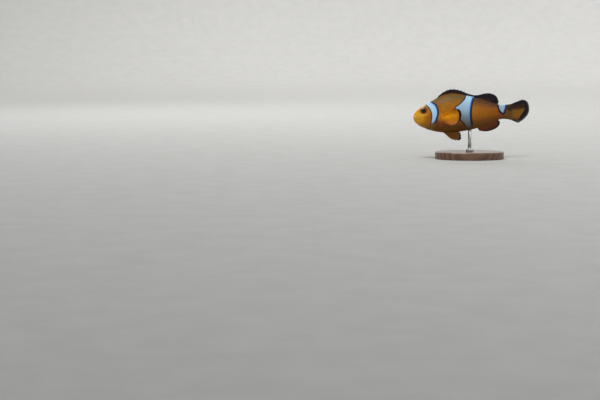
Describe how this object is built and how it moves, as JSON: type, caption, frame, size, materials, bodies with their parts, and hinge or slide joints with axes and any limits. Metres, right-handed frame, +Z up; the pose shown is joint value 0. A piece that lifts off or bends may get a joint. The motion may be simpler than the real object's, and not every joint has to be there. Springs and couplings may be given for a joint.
{
  "type": "clownfish model on a display stand",
  "caption": "Life-size adult clownfish in a level swimming pose, orange with white bars and dark-edged fins, held by a short steel rod on a flat oval wooden base.",
  "frame": {"origin": "centre of the flat underside of the stand's base", "axes": "+Z up; the snout points towards -Y and the tail towards +Y; +X towards the fish's left flank"},
  "size_m": [0.031, 0.08, 0.0468],
  "materials": {
    "head_skin": "moist skin, yellow-orange on the snout and cheeks, with a bluish-white bar edged in black over the gill covers",
    "body_skin": "fine overlapping scales, orange, with two bluish-white bars edged in blue-black",
    "fin_skin": "thin ribbed fin membrane, orange, with a black margin and a narrow pale rim",
    "eye": "clear domed cornea over a dark pupil and an orange-brown iris",
    "stand_wood": "dark stained wood, satin varnish",
    "stand_steel": "fine brushed steel"
  },
  "bodies": {
    "root": {"head": "head_skin", "lower_jaw": "head_skin", "gill_cover_left": "head_skin", "gill_cover_right": "head_skin", "eye_left": "eye", "eye_right": "eye", "trunk": "body_skin", "tail_base": "body_skin", "dorsal_fin_spiny": "fin_skin", "dorsal_fin_soft": "fin_skin", "anal_fin": "fin_skin", "tail_fin": "fin_skin", "pectoral_fin_left": "fin_skin", "pectoral_fin_right": "fin_skin", "pelvic_fin_left": "fin_skin", "pelvic_fin_right": "fin_skin", "stand_base": "stand_wood", "stand_rod": "stand_steel", "stand_collar": "stand_steel"}
  },
  "joints": []
}
